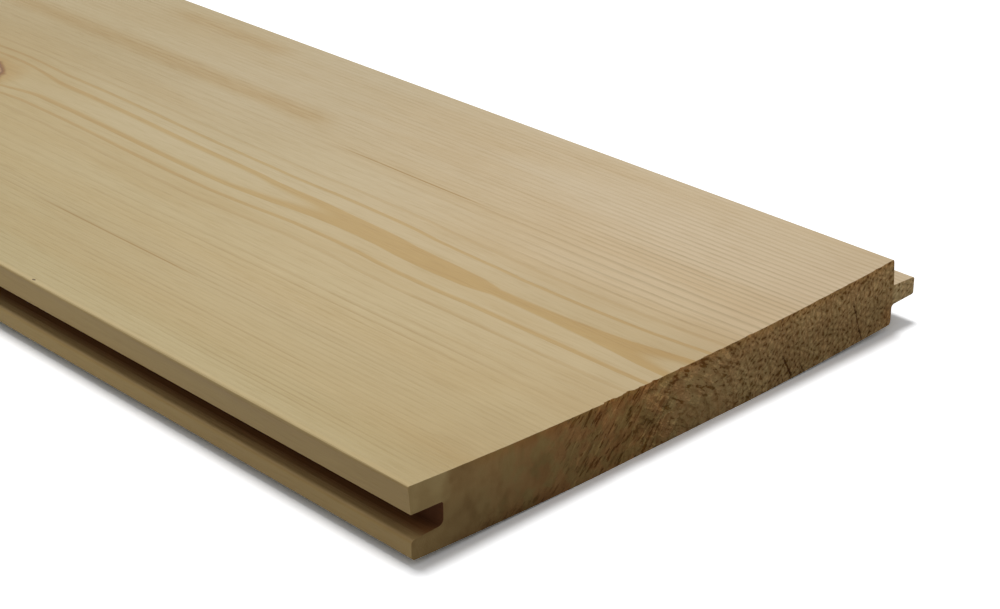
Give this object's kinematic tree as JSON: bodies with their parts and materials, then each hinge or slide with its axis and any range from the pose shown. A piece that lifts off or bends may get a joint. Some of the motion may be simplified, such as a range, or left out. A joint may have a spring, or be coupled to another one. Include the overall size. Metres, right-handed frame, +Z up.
{
  "type": "tongue and groove board",
  "caption": "Planed softwood tongue and groove board of stock length, slightly cupped, with a groove along one edge and a tongue along the other.",
  "frame": {"origin": "on the floor, under the middle of the board: the middle of the bounding box's bottom, where the cupped back touches the floor to within 4 mm across", "axes": "+X across the board from the grooved edge to the tongue, +Y along the board, +Z up, out of its face"},
  "size_m": [0.1426, 1.8, 0.0164],
  "materials": {
    "planed_pine": "planed, unfinished"
  },
  "bodies": {
    "root": {"board": "planed_pine"}
  },
  "joints": []
}
